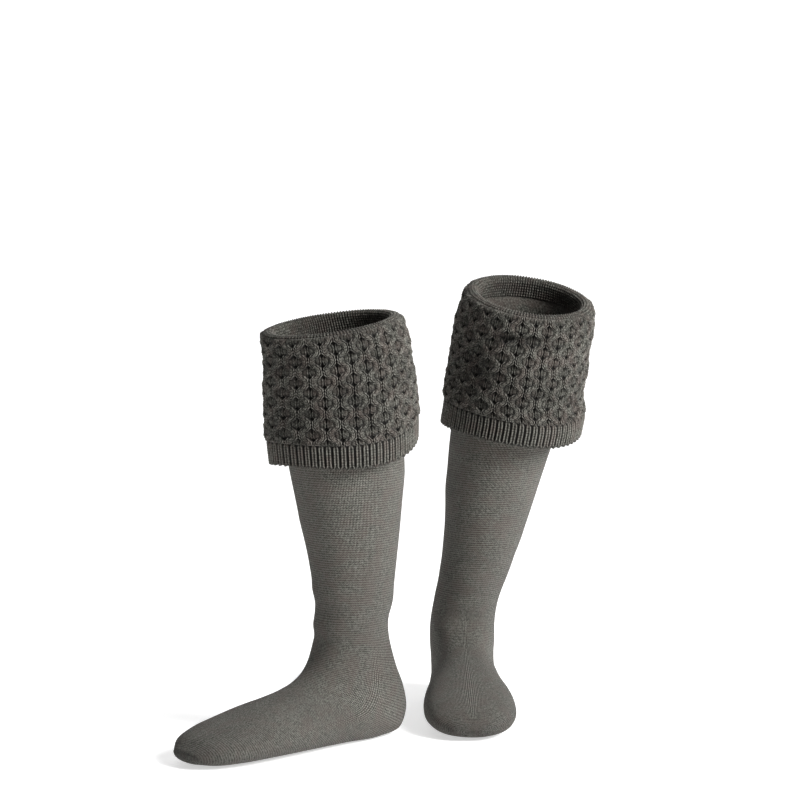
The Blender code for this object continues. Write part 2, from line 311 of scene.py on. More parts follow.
TOP_ARC, BOTTOM_ARC = arc_at_drop(HONEYCOMB_TOP), arc_at_drop(HONEYCOMB_BOTTOM)
ring = knit_point(SOCKS["right"], np.arange(0, COLUMNS, 0.25), (TOP_ARC + BOTTOM_ARC) / 2, 0.0)
ROUND = float(np.linalg.norm(ring - np.roll(ring, 1, 0), axis=1).sum())
COLUMN_WIDTH = ROUND / COLUMNS
print("half way down, the cuff is", round(ROUND), "mm round and a column", round(COLUMN_WIDTH, 1))

# %% [markdown]
# ## Turning rows of points into a mesh
#
# A grid of points becomes a mesh with one face between each four neighbours. Two things ride
# along with the points: a UV map counted in stitches, so that a material can draw at the
# knitting's own scale, and a number called hollow, which is 0 on top of the yarn and 1 deep
# between two strands. Hollow carries painted light: the material paints shade where it is
# high and a highlight where it is low.

# %% Mesh helpers
def grid_faces(rows, across, first=0, closed=True):
    """Faces of a grid of points, closed round or open, numbered row by row."""
    width = across if closed else across - 1
    j, i = np.meshgrid(np.arange(rows - 1), np.arange(width), indexing="ij")
    right = (i + 1) % across
    faces = np.stack((j * across + i, (j + 1) * across + i, (j + 1) * across + right,
                      j * across + right), -1).reshape(-1, 4)
    corner_i = np.stack((i, i, i + 1, i + 1), -1).reshape(-1, 4)
    corner_j = np.stack((j, j + 1, j + 1, j), -1).reshape(-1, 4)
    return faces + first, corner_i, corner_j


def make_mesh(name, points, faces, uvs, hollow):
    """A smooth-shaded object from points in mm, faces, a UV for each face corner and hollow."""
    data = bpy.data.meshes.new(name)
    data.from_pydata((points * MM).tolist(), [], [face.tolist() for face in faces])
    layer = data.uv_layers.new(name="stitches")
    layer.data.foreach_set("uv", np.concatenate([uv.reshape(-1) for uv in uvs]).astype(np.float32))
    # hollow sets the painted shade, and where it is low a painted highlight
    depth = data.attributes.new("hollow", "FLOAT", "POINT")
    depth.data.foreach_set("value", np.asarray(hollow, np.float32))
    data.shade_smooth()
    data.update()
    made = bpy.data.objects.new(name, data)
    bpy.context.scene.collection.objects.link(made)
    data.calc_loop_triangles()
    print(name, "has", len(data.loop_triangles), "triangles")
    return made


# %% [markdown]
# ## The wrong side of the knitting
#
# Seen from its wrong side a stitch is a bump: the top of a loop that lies sideways and bows up
# in its middle. Such bumps show along the fold and inside it. Here a bump is a height over one
# stitch, drawn with two cosines. Modelling every loop as its own tube would be truer still,
# but more than ten thousand of them would make the model too heavy to use.

# %% Height of a purl bump
LOOP_BOW = 0.3
RIDGE_LOW, RIDGE_RISE, BETWEEN_RIDGES = 0.35, 0.65, 0.55


def purl_bump(wale, row):
    """Short ridges lying across the wales, each bowed over its loop, from 0 to 1."""
    loop = 0.5 + 0.5 * np.cos(2 * math.pi * wale)
    ridge = 0.5 + 0.5 * np.cos(2 * math.pi * (row - LOOP_BOW * loop))
    return ridge * (RIDGE_LOW + RIDGE_RISE * loop) + (1 - ridge) * BETWEEN_RIDGES * loop


WALES = 128
PERIODS = 5
ROWS_PER_PERIOD = 8
PERIOD = (BOTTOM_ARC - TOP_ARC) / PERIODS
ROW = PERIOD / ROWS_PER_PERIOD
WALE = COLUMN_WIDTH * COLUMNS / WALES
print("a stitch is", round(WALE, 2), "mm wide and", round(ROW, 2), "mm high")

# %% [markdown]
# ## The cuff's ground
#
# The ground is one closed thin shell: it starts inside the sock, rolls over the fold, runs
# down behind the ropes, turns at the hem's seam and comes back up its hidden face. Its wrong
# side shows in a narrow band along the fold and on the turned-in face, so those rows get
# purl bumps, with painted shade in the dips between them. Behind the ropes it stays plain
# and is painted dark as shade, and its hidden face is painted in part shade.

# %% Build the ground
GROUND_ROUND = 512
GROUND_END = 0.2
BUMPS_END, PLAIN_START = 3.0, 4.5
FADE_END, FADE_LENGTH = 4.0, 3.0
PLAIN_RINGS, BACK_RINGS, INSIDE_RINGS = 18, 6, 8
BUMP_HEIGHT, BUMP_SUNK, PLAIN_SUNK = 2.4, 0.9, 0.35
BEAD_UNEVEN = 0.3
BACK_SHADE = 0.4


def make_ground(side, sock):
    """The closed shell of a cuff, bumpy where its wrong side shows."""
    inner_end = -arc_at_drop(TURNED_IN)
    bumpy = np.arange(inner_end, TOP_ARC + BUMPS_END, ROW / 4)
    plain = np.linspace(TOP_ARC + PLAIN_START, BOTTOM_ARC + GROUND_END, PLAIN_RINGS)
    outer = np.concatenate((bumpy, plain))
    hidden = np.concatenate((np.linspace(BOTTOM_ARC + GROUND_END, TOP_ARC, BACK_RINGS),
                             np.linspace(TOP_ARC - 2, inner_end, INSIDE_RINGS)))
    arcs = np.concatenate((outer, hidden))
    column = np.arange(GROUND_ROUND) / GROUND_ROUND * COLUMNS
    arc, column = arcs[:, None], column[None, :]
    bump = purl_bump(column * WALES / COLUMNS, arc / ROW)
    fade = np.clip((TOP_ARC + FADE_END - arc) / FADE_LENGTH, 0, 1)
    shown = np.arange(len(arcs))[:, None] < len(outer)
    relief = (BUMP_HEIGHT * bump - BUMP_SUNK) * fade - PLAIN_SUNK * (1 - fade)
    height = np.where(shown, relief, -CUFF_WALL)
    points = knit_point(sock, column, arc, height).reshape(-1, 3)
    faces, i, j = grid_faces(len(arcs), GROUND_ROUND)
    back, bi, bj = grid_faces(2, GROUND_ROUND)
    last = (len(arcs) - 1) * GROUND_ROUND
    back = np.where(back < GROUND_ROUND, back + last, back - GROUND_ROUND)
    uv = np.stack((i * WALES / GROUND_ROUND, arcs[j] / ROW), -1)
    uv_back = np.stack((bi * WALES / GROUND_ROUND, bj * 0.0), -1)
    uneven = patchy(column / COLUMNS, arc / BOTTOM_ARC + 0.2, 7, WALES, 100)
    # Painted shade: in the dips between purl bumps, a little uneven; full behind the ropes; part
    # shade on the hidden face.
    bead = np.clip(1 - (1 + BEAD_UNEVEN * uneven) * bump, 0, 1)
    hollow = np.where(shown, bead * fade + (1 - fade), BACK_SHADE) + 0 * column
    return make_mesh(f"{side}_cuff_ground", points, [*faces, *back], [uv, uv_back],
                     hollow.reshape(-1))


grounds = {side: make_ground(side, sock) for side, sock in SOCKS.items()}

# %% [markdown]
# ## The honeycomb's ropes
#
# Each of the 32 columns holds two ropes of two wales. They swap places every four rows, and
# the same rope always passes in front, so it snakes down the column. The next column is its
# mirror image: where two front ropes swing apart they leave a hollow cell, and where they
# swing together they close it. A displaced surface can't pass one rope over another, so each
# rope is its own closed strip, and the rear one dives under at the crossings.

# %% The path of a rope
SWING_FRONT, SWING_REAR = 0.232, 0.25
SWING_SHARPNESS = 1.6
HALF_WIDTH_FRONT, HALF_WIDTH_REAR = 3.45, 3.15
SUNK = 0.8
ROPE_START, ROPE_PAST = -0.1, 0.05
START_EASE, END_EASE, END_SUNK = 0.1, 0.07, 0.4
FRONT_LIFT, FRONT_RISE = 2.6, 0.6
REAR_LIFT, REAR_DIVE = 2.2, 3.0
PLY_SLANT = 1.1
# Some values below set painted shade: a little over every rope, more in the dips of the ply, scaled
# on the rear ropes and added where they dive under at the crossings.
WIDTH_BEAT, HEIGHT_BEAT, SHADE_BEAT, SHADE_BASE = 0.42, 0.26, 0.3, 0.06
REAR_SHADE_SCALE, CROSSING_SHADE, CROSSING_POWER = 0.85, 0.7, 1.5
UNEVEN_SWING, UNEVEN_LIFT, UNEVEN_WIDTH, UNEVEN_PLACE = 0.025, 0.35, 0.15, 0.03
UNEVEN_ROUND, UNEVEN_DOWN = 32, 15
GLINT_TONE, GLINTS_DOWN = 0.22, 60

# Each row: share of the half width, then the share of the height and the hollowness on the
# side that bulges outward, then the same two on the side that is rolled under. Hollowness is
# painted shade where it is high and a painted highlight where it is low.
ROPE_SECTION = np.array([
    (0.00, 0.86, 0.62, 0.96, 0.45), (0.20, 1.04, 0.02, 0.99, 0.28), (0.36, 0.92, 0.40, 0.97, 0.38),
    (0.46, 0.42, 1.00, 0.88, 0.60), (0.57, 0.75, 0.75, 0.86, 0.48), (0.69, 1.06, 0.00, 0.76, 0.42),
    (0.81, 1.00, 0.00, 0.62, 0.50), (0.92, 0.50, 0.80, 0.40, 0.85), (1.00, 0.00, 1.00, 0.00, 1.00),
])
ACROSS_FRONT = np.concatenate((-ROPE_SECTION[:0:-1, 0], ROPE_SECTION[:, 0]))
ACROSS_REAR = np.array([-1, -0.86, -0.68, -0.48, 0, 0.48, 0.68, 0.86, 1])


def swing(period):
    """Where the front rope of an even column runs, from 1 to -1 and back in a period."""
    return np.tanh(SWING_SHARPNESS * np.cos(2 * math.pi * period)) / math.tanh(SWING_SHARPNESS)


def rope_section(across, held, lift, row):
    """Height and hollowness over a rope; held is 1 or -1 when it lies fully to one side."""
    away = np.abs(across)
    bulging = np.clip(0.5 + 0.8 * held * np.sign(across), 0, 1)
    outer, deep, rolled, dull = (np.interp(away, ROPE_SECTION[:, 0], ROPE_SECTION[:, k])
                                 for k in (1, 2, 3, 4))
    body = rolled + (outer - rolled) * bulging
    hollow = dull + (deep - dull) * bulging
    beat = np.cos(2 * math.pi * (row + PLY_SLANT * away))
    height = -SUNK + (lift + SUNK) * body + HEIGHT_BEAT * beat * np.minimum(1, body * 2)
    # Painted shade: a little everywhere, and more in the dips of the ply.
    return height, np.clip(hollow + SHADE_BASE - SHADE_BEAT * beat, 0, 1)


def make_rope(sock, index, front, samples_per_row, across):
    """Points, hollowness and UVs of one rope as a grid: down the rope, and across it."""
    count = int(samples_per_row * ROWS_PER_PERIOD * (PERIODS - ROPE_START + ROPE_PAST)) + 1
    period = np.linspace(ROPE_START, PERIODS + ROPE_PAST, count)[:, None]
    row = period * ROWS_PER_PERIOD
    middle = (index + 0.5) / COLUMNS
    uneven = [patchy(middle, period / PERIODS, seed, UNEVEN_ROUND, UNEVEN_DOWN)
              for seed in (3, 4, 5)]
    mirrored = (1 if index % 2 == 0 else -1) * (1 if front else -1)
    held = mirrored * swing(period + UNEVEN_SWING * uneven[0])
    lateral = held * (SWING_FRONT if front else SWING_REAR)
    slope = np.gradient(lateral[:, 0], period[:, 0])[:, None] * COLUMN_WIDTH / PERIOD
    lean = 0.5 * np.arctan(slope)
    crossing = 1 - swing(period) ** 2
    lift = FRONT_LIFT + FRONT_RISE * crossing if front else REAR_LIFT - REAR_DIVE * crossing
    lift = lift + UNEVEN_LIFT * uneven[1]
    starting = np.clip((period - ROPE_START) / START_EASE, 0, 1)
    ending = np.clip((PERIODS + ROPE_PAST - period) / END_EASE, 0, 1)
    ends = starting * ending
    lift = lift * ends - END_SUNK * (1 - ends)
    beat = WIDTH_BEAT * np.cos(2 * math.pi * row)
    half_width = (HALF_WIDTH_FRONT if front else HALF_WIDTH_REAR) + beat + UNEVEN_WIDTH * uneven[2]
    height, hollow = rope_section(across[None, :], held, lift, row)
    column = index + 0.5 + lateral + across * half_width * np.cos(lean) / COLUMN_WIDTH
    column = column + UNEVEN_PLACE * uneven[2]
    arc = TOP_ARC + period * PERIOD - across * half_width * np.sin(lean)
    points = knit_point(sock, column, arc, height)
    # Rear ropes get painted shade where they dive under the front ropes at the crossings.
    if not front:
        hollow = np.clip(REAR_SHADE_SCALE * hollow + CROSSING_SHADE * crossing ** CROSSING_POWER, 0, 1)
    # The glint varies the tone at random along the rope; deep folds add painted shade.
    glint = patchy(middle, period / PERIODS, 6, UNEVEN_ROUND, GLINTS_DOWN)
    hollow = np.clip(hollow + GLINT_TONE * glint + crease_shade(sock, column, arc), 0, 1)
    return points, hollow, row[:, 0]


print("a front rope is", 2 * HALF_WIDTH_FRONT, "mm wide and a rear rope", 2 * HALF_WIDTH_REAR)

# %% [markdown]
# ## From one rope to all of them
#
# The strip's two long edges sink just under the ground and are joined there by one face, and
# its ends are closed, so each rope is a body without holes.

# %% Build the ropes
WALES_A_COLUMN = WALES // COLUMNS
FRONT_SAMPLES, REAR_SAMPLES = 4, 2


def make_ropes(side, sock, front, samples, across):
    """All the front or all the rear ropes of a cuff as one mesh."""
    points, faces, uvs, hollow = [], [], [], []
    steps = len(across)
    for index in range(COLUMNS):
        place, deep, rows = make_rope(sock, index, front, samples, across)
        count = len(rows)
        first = index * count * steps
        shown, i, j = grid_faces(count, steps, first, closed=False)
        under = np.stack((np.arange(count - 1) * steps, np.arange(count - 1) * steps + steps - 1,
                          np.arange(1, count) * steps + steps - 1, np.arange(1, count) * steps), -1)
        ends = [first + np.arange(steps), first + (count - 1) * steps + np.arange(steps)[::-1]]
        faces += [*shown, *(under + first), *ends]
        uvs += [np.stack((index * WALES_A_COLUMN + across[i] + 1, rows[j]), -1),
                np.zeros((count - 1, 4, 2)), np.zeros((2, steps, 2))]
        points.append(place.reshape(-1, 3))
        hollow.append(deep.reshape(-1))
    name = f"{side}_cuff_{'front' if front else 'rear'}_ropes"
    return make_mesh(name, np.concatenate(points), faces, uvs, np.concatenate(hollow))


front_ropes = {side: make_ropes(side, sock, True, FRONT_SAMPLES, ACROSS_FRONT)
               for side, sock in SOCKS.items()}
rear_ropes = {side: make_ropes(side, sock, False, REAR_SAMPLES, ACROSS_REAR)
              for side, sock in SOCKS.items()}

# %% [markdown]
# ## The ribbed hem
#
# A rib of one knit and one purl wale pulls together like a spring: the knit wales stand up
# as cords and the purl wales sink into gaps between them. The cords catch the light and also
# get a painted highlight, and the gaps are painted dark as shade. Two ribs stand under each
# column of the honeycomb. The lower edge isn't straight but scalloped, because each cord ends
# in its own small loop.

# %% Build the hems
RIBS = 64
RIB_PLACES = np.array([0, 0.105, 0.15, 0.225, 0.3, 0.345, 0.5, 0.655, 0.7, 0.775, 0.85, 0.895])
SEAM = 0.35

# The cord of a rib is the two legs of its knit stitches. Places and widths are shares of a rib,
# and heights are in mm.
LEG_PLACE, LEG_HALF, LEG_EDGE, CORE_EDGE = 0.225, 0.0975, 0.045, 0.1
HEM_LEG, HEM_GAP, HEM_CORE, HEM_BEAT = 1.2, -0.3, 0.6, 0.12
# The next line sets painted shade: full in the purl gaps, less on the core and the legs, half on
# the hidden face.
LEG_SHADE_CUT, CORE_SHADE_CUT, BEAT_SHADE_CUT, BEHIND_SHADE = 0.84, 0.2, 0.07, 0.5
END_LOOP, END_POWER = 3.0, 1.5
TOP_EASE, TOP_SUNK = 0.8, 0.6
SCALLOP, SCALLOP_RAISED, SCALLOP_REACH = 0.8, 0.5, 4
EDGE_TURNS = (0.33, 0.67, 1.0)
EDGE_ROUND, EDGE_DEPTH, EDGE_SHADE = 0.7, 0.8, 0.2


def make_hem(side, sock):
    """The closed band of ribs, with rounded loops along its lower edge."""
    steps = len(RIB_PLACES)
    around = RIBS * steps
    rib = (np.arange(RIBS)[:, None] + RIB_PLACES).reshape(-1)
    column = (rib / RIBS * COLUMNS)[None, :]
    away = np.abs((rib + 0.5) % 1 - 0.5)[None, :]
    top, bottom = arc_at_drop(HONEYCOMB_BOTTOM + SEAM), arc_at_drop(HEM_BOTTOM)
    down = np.arange(top, bottom, ROW / 4)[:, None]
    beat = np.cos(2 * math.pi * (down - top) / ROW)
    closing = np.sqrt(np.clip(1 - (1 - (down - top) / END_LOOP).clip(0, 1) ** 2, 0, 1))
    opening = np.clip(1 - (bottom - down) / END_LOOP, 0, 1) ** END_POWER
    leg_at = LEG_PLACE * closing + (0.5 - LEG_PLACE) * opening
    off = np.minimum(np.abs(away - leg_at), np.abs(1 - away - leg_at))
    leg = np.clip((LEG_HALF - off) / LEG_EDGE + 0.5, 0, 1)
    inside = np.clip((leg_at - away) / CORE_EDGE + 0.5, 0, 1)
    base = HEM_GAP + HEM_CORE * inside * (1 - opening)
    height = base + (HEM_LEG + HEM_BEAT * beat - base) * leg
    # Painted shade in the purl gaps, lifted on the core and on the legs, which get a painted
    # highlight.
    core = CORE_SHADE_CUT * inside * (1 - leg) * (1 + beat)
    hollow = np.clip(1 - LEG_SHADE_CUT * leg - core - BEAT_SHADE_CUT * leg * beat, 0, 1)
    start = np.clip((down - top) / TOP_EASE, 0, 1)
    height = -TOP_SUNK * (1 - start) + height * start
    scallop = SCALLOP * leg[-1:] - SCALLOP_RAISED
    near_edge = np.clip((down - bottom + SCALLOP_REACH) / SCALLOP_REACH, 0, 1)
    grids = [(down + scallop * near_edge, height, hollow)]
    edge_back = CUFF_WALL * EDGE_DEPTH
    # The rounded edge turns under, and its rows get more painted shade as they turn.
    for turn in EDGE_TURNS:
        lower = bottom + scallop + EDGE_ROUND * math.sin(turn * math.pi / 2)
        sunk = (height[-1:] + edge_back) * math.cos(turn * math.pi / 2) - edge_back
        grids.append((lower, sunk, np.clip(hollow[-1:] + EDGE_SHADE * turn, 0, 1)))
    # The hidden face is painted in half shade.
    for back in (bottom - 1.0, (top + bottom) / 2, top):
        grids.append((back + 0 * away, -CUFF_WALL + 0 * away, BEHIND_SHADE + 0 * away))
    arc = np.concatenate([g[0] for g in grids])
    height = np.concatenate([g[1] + 0 * away for g in grids])
    hollow = np.concatenate([g[2] + 0 * away for g in grids])
    points = knit_point(sock, column, arc, height).reshape(-1, 3)
    rows = len(arc)
    faces, i, j = grid_faces(rows, around)
    back, bi, bj = grid_faces(2, around)
    back = np.where(back < around, back + (rows - 1) * around, back - around)
    uv = np.stack((i * 2 / steps, j / 4), -1)
    uv_back = np.stack((bi * 2 / steps, bj * 0.0), -1)
    return make_mesh(f"{side}_hem_ribs", points, [*faces, *back], [uv, uv_back], hollow.reshape(-1))


hems = {side: make_hem(side, sock) for side, sock in SOCKS.items()}

# %% [markdown]
# ## The plain leg and foot
#
# The tube is lofted through the same rings as its solid, on a curve that passes through all
# of them. Knitting this fine would need half a million faces, so its stitches are left to
# the material, and the mesh carries only the soft wrinkles at the ankle and down the leg.

# %% Rings of the leg and foot
LEG_ROUND = 160


def leg_rings(sock, shrink):
    """The rings of the plain tube from the cuff's seam to the toe, as rows of points."""
    forward, side = headings(sock)
    around = np.arange(LEG_ROUND) / LEG_ROUND * 2 * math.pi
    ahead, beside = np.cos(around)[:, None], np.sin(around)[:, None]
    seam = -arc_at_drop(TURNED_IN + SEAM)
    rings = [cuff_point(sock, around, *fold_path(seam, np.full(LEG_ROUND, shrink - CUFF_WALL)))]
    for height, x, y, front, width in sock["leg"]:
        centre = np.array((x, y, SOLE_HEIGHT + height))
        rings.append(centre + (front - shrink) * ahead * forward + (width - shrink) * beside * side)
    power = 2 / FOOT_ROUNDNESS
    along = np.sign(ahead) * np.abs(ahead) ** power
    across = np.sign(beside) * np.abs(beside) ** power
    for front, front_up, back, back_up, width in FOOT:
        over = front * forward + np.array((0.0, 0.0, front_up))
        under = back * forward + np.array((0.0, 0.0, back_up))
        half = (over - under) / 2
        length = np.linalg.norm(half)
        rings.append(sock["ankle"] + (over + under) / 2 + half / length * (length - shrink) * along
                     + (width - shrink) * across * side)
    tip_up = (FOOT[-1, 1] + FOOT[-1, 3]) / 2
    tip = sock["ankle"] + (TOE_TIP - shrink) * forward + np.array((0.0, 0.0, tip_up))
    return np.array(rings), tip


def loft(rings, spacing):
    """More rings on a smooth curve through the given ones, about a spacing apart."""
    middle = rings.mean(1)
    steps = np.linalg.norm(np.diff(rings, axis=0), axis=2).mean(1)
    at = np.concatenate(([0.0], np.cumsum(steps)))
    wanted = np.linspace(0, at[-1], int(at[-1] / spacing) + 1)
    flat = rings.reshape(len(rings), -1)
    slopes = np.gradient(flat, at, axis=0)
    i = np.clip(np.searchsorted(at, wanted, side="right") - 1, 0, len(at) - 2)
    span = (at[i + 1] - at[i])[:, None]
    t = (wanted - at[i])[:, None] / span
    made = ((1 + 2 * t) * (1 - t) ** 2 * flat[i] + t * (1 - t) ** 2 * span * slopes[i]
            + t * t * (3 - 2 * t) * flat[i + 1] + t * t * (t - 1) * span * slopes[i + 1])
    return made.reshape(len(wanted), -1, 3), wanted


print("rings of the right leg:", leg_rings(SOCKS["right"], 0.0)[0].shape[0])

# %% [markdown]
# ## Wrinkles and the closed toe
#
# A wrinkle is a low ridge or trough that runs part of the way round and bows downwards. They
# could be sculpted, but a short table of bell curves can be changed later. At the toe the last
# ring shrinks along a quarter circle, and the stitches run on to the tip, so that no plain
# patch shows where the tube closes.

# %% Build the legs and feet
LEG_WALES = 112
LEG_ROW = 2.3
TOE_START = 0.25
TOE_STEP = 4.0
TOE_RINGS = 7
OUTSIDE_SPACING, INSIDE_SPACING = 3.0, 12.0
INSIDE_SHADE = 0.3
WRINKLE_BOW, WRINKLE_BEND = 6, 1.5

# Each row: place along the sock in mm, width in mm, turn round from the front, reach round
# and height, a trough where it is negative.
WRINKLES = (
    (232, 7, 0.0, 1.1, 1.3), (250, 6, 0.25, 0.9, -1.4), (265, 7, -0.3, 1.0, 1.5),
    (284, 6, 0.2, 0.8, -1.3), (243, 8, math.pi, 0.9, 1.2), (262, 7, math.pi, 0.8, -1.2),
    (120, 16, 1.9, 1.2, 0.9), (170, 14, -1.6, 1.2, 0.9), (60, 20, 2.6, 1.4, 0.8),
)


def wrinkles(along, around):
    """Height of the soft wrinkles over the ankle and down the leg."""
    out = np.zeros(np.broadcast(along, around).shape)
    for place, width, turn, reach, size in WRINKLES:
        away = (around - turn + math.pi) % (2 * math.pi) - math.pi
        bend = along - place - WRINKLE_BOW * np.cos(away * WRINKLE_BEND)
        out += size * np.exp(-(bend / width) ** 2 - (away / reach) ** 2)
    return out


def make_leg(side, sock):
    """The plain leg and foot, outside and then inside, as one closed shell."""
    walls, tips, places = [], [], []
    for shrink, spacing in ((0.0, OUTSIDE_SPACING), (LEG_WALL, INSIDE_SPACING)):
        rings, tip = leg_rings(sock, shrink)
        rings, along = loft(rings, spacing)
        around = (np.arange(LEG_ROUND) / LEG_ROUND * 2 * math.pi)[None, :]
        relief = wrinkles(along[:, None], around) if shrink == 0.0 else 0 * along[:, None] * around
        outward = rings - rings.mean(1, keepdims=True)
        outward /= np.linalg.norm(outward, axis=2, keepdims=True)
        rings = rings + outward * relief[..., None]
        last = rings[-1:]
        middle = last.mean(1, keepdims=True)
        turn = np.arcsin(np.linspace(TOE_START, 1, TOE_RINGS)[1:-1])[:, None, None]
        ahead = (np.sin(turn) - TOE_START) / (1 - TOE_START)
        shrunk = np.cos(turn) / math.sqrt(1 - TOE_START ** 2)
        cap = middle + (tip - middle) * ahead + (last - middle) * shrunk
        walls.append(np.concatenate((rings, cap)))
        tips.append(tip)
        past = along[-1] + np.arange(1, len(cap) + 1) * TOE_STEP
        places.append(np.concatenate((along, past)))
    print(side, "leg and foot:", round(float(places[0][-1])), "mm from the seam to the toe")
    outer, inner = walls
    points = np.concatenate((outer[::-1].reshape(-1, 3), inner.reshape(-1, 3), np.array(tips)))
    rows = len(outer) + len(inner)
    faces, i, j = grid_faces(rows, LEG_ROUND)
    along = np.concatenate((places[0][::-1], places[1]))
    uv = np.stack((i * LEG_WALES / LEG_ROUND, along[j] / LEG_ROW), -1)
    caps, uv_caps = [], []
    inner_first = (rows - 1) * LEG_ROUND
    inner_tip = rows * LEG_ROUND + 1
    to_tip = np.array((0.0, 0.0, 2 * TOE_STEP))
    for k in range(LEG_ROUND):
        right = (k + 1) % LEG_ROUND
        caps.append(np.array((k, right, rows * LEG_ROUND)))
        caps.append(np.array((inner_first + right, inner_first + k, inner_tip)))
        wales = np.array((k, k + 1, k + 0.5)) * LEG_WALES / LEG_ROUND
        uv_caps.append(np.stack((wales, (places[0][-1] + to_tip) / LEG_ROW), -1))
        uv_caps.append(np.stack((wales[[1, 0, 2]], (places[1][-1] + to_tip) / LEG_ROW), -1))
    hollow = np.zeros(len(points))
    # The inside of the tube is painted in light shade.
    hollow[len(outer) * LEG_ROUND:] = INSIDE_SHADE
    return make_mesh(f"{side}_leg_and_foot_knit", points, [*faces, *caps],
                     [uv, np.array(uv_caps)], hollow)


legs = {side: make_leg(side, sock) for side, sock in SOCKS.items()}

# %% [markdown]
# ## The yarn
#
# The socks are a grey melange with a little olive: light and dark fibres were spun together,
# so no two millimetres have quite the same tone, and here and there a brownish patch shows.
# A flat colour would look like rubber. The material mixes a middle and a light grey by noise
# at the size of a fibre, lays brownish and darker patches over them, paints a highlight on the
# top of the yarn and shade in the hollows, and adds a soft sheen, because loose fibres catch
# the light.

# %% Node helpers
def new_material(name):
    """A new material, with its node tree and its shader."""
    material = bpy.data.materials.new(name)
    material.use_nodes = True
    tree = material.node_tree
    return material, tree, tree.nodes["Principled BSDF"]


def plug(tree, value, socket):
    """Connect a socket, or set a plain value."""
    if isinstance(value, bpy.types.NodeSocket):
        tree.links.new(value, socket)
    else:
        socket.default_value = value


def maths(tree, operation, first, second=0.0, third=0.0):
    """One Math node; returns its output."""
    node = tree.nodes.new("ShaderNodeMath")
    node.operation = operation
    for value, socket in zip((first, second, third), node.inputs):
        plug(tree, value, socket)
    return node.outputs[0]


def blend_colour(tree, factor, first, second):
    """One colour Mix node; returns its output."""
    node = tree.nodes.new("ShaderNodeMix")
    node.data_type = "RGBA"
    node.blend_type = "MIX"
    plug(tree, factor, node.inputs[0])
    plug(tree, first, node.inputs[6])
    plug(tree, second, node.inputs[7])
    return node.outputs[2]


def noise(tree, scale, detail):
    """Noise in the object's own space; scale is how many of its waves fit in a metre."""
    node = tree.nodes.new("ShaderNodeTexNoise")
    node.inputs["Scale"].default_value = scale
    node.inputs["Detail"].default_value = detail
    place = tree.nodes.new("ShaderNodeTexCoord")
    tree.links.new(place.outputs["Object"], node.inputs["Vector"])
    return node.outputs["Fac"]


print("node helpers are ready")

# %% [markdown]
# ## One yarn, with or without drawn stitches
#
# The cuffs and hems have their stitches in the mesh, so their yarn needs only its colours, the
# painted shade and highlight that hollow carries, and a fine fuzz. The leg's stitches are drawn:
# the UV map counts them, and two waves over one stitch give the two slanted legs of a V, with
# painted shade in the core between them and a painted highlight on the legs.

# %% Build the yarn materials
YARN_LIGHT = (0.186, 0.182, 0.158, 1)
YARN_MIDDLE = (0.047, 0.0465, 0.038, 1)
# The dark colour serves both the darker patches of the yarn and the painted shade.
YARN_DARK_AND_SHADE = (0.003, 0.0028, 0.0024, 1)
YARN_WARM = (0.112, 0.085, 0.074, 1)
# The colour of the painted highlight on the tops of the yarn.
YARN_HIGHLIGHT = (0.290, 0.281, 0.252, 1)

# Each noise: its scale, its detail, and the values that become 0 and 1.
NOISES = {"fibre": (620, 4.0, 0.4, 0.64), "patch": (75, 2.0, 0.42, 0.66),
          "broad": (28, 1.0, 0.3, 0.7)}
# The last two shares set the painted highlight and the painted shade.
WARM_SHARE, BROAD_SHARE, HIGHLIGHT_SHARE, SHADE_SHARE = 0.6, 0.15, 0.5, 0.97
HIGHLIGHT_REACH = 0.25
FUZZ_HEIGHT, BUMP_DISTANCE, BUMP_STRENGTH = 0.4, 0.0007, 0.9
STITCH_SLANT, STITCH_BEAT, STITCH_BODY = -0.6, 0.25, 0.75
CORE_DEPTH, CORE_LIFT = 0.75, -0.9


def steps_between(tree, value, low, high):
    """A value spread so that low becomes 0 and high becomes 1."""
    node = tree.nodes.new("ShaderNodeMapRange")
    plug(tree, value, node.inputs["Value"])
    node.inputs["From Min"].default_value = low
    node.inputs["From Max"].default_value = high
    return node.outputs["Result"]


def spread_noise(tree, kind):
    """One of the noises above, spread to run from 0 to 1."""
    scale, detail, low, high = NOISES[kind]
    return steps_between(tree, noise(tree, scale, detail), low, high)


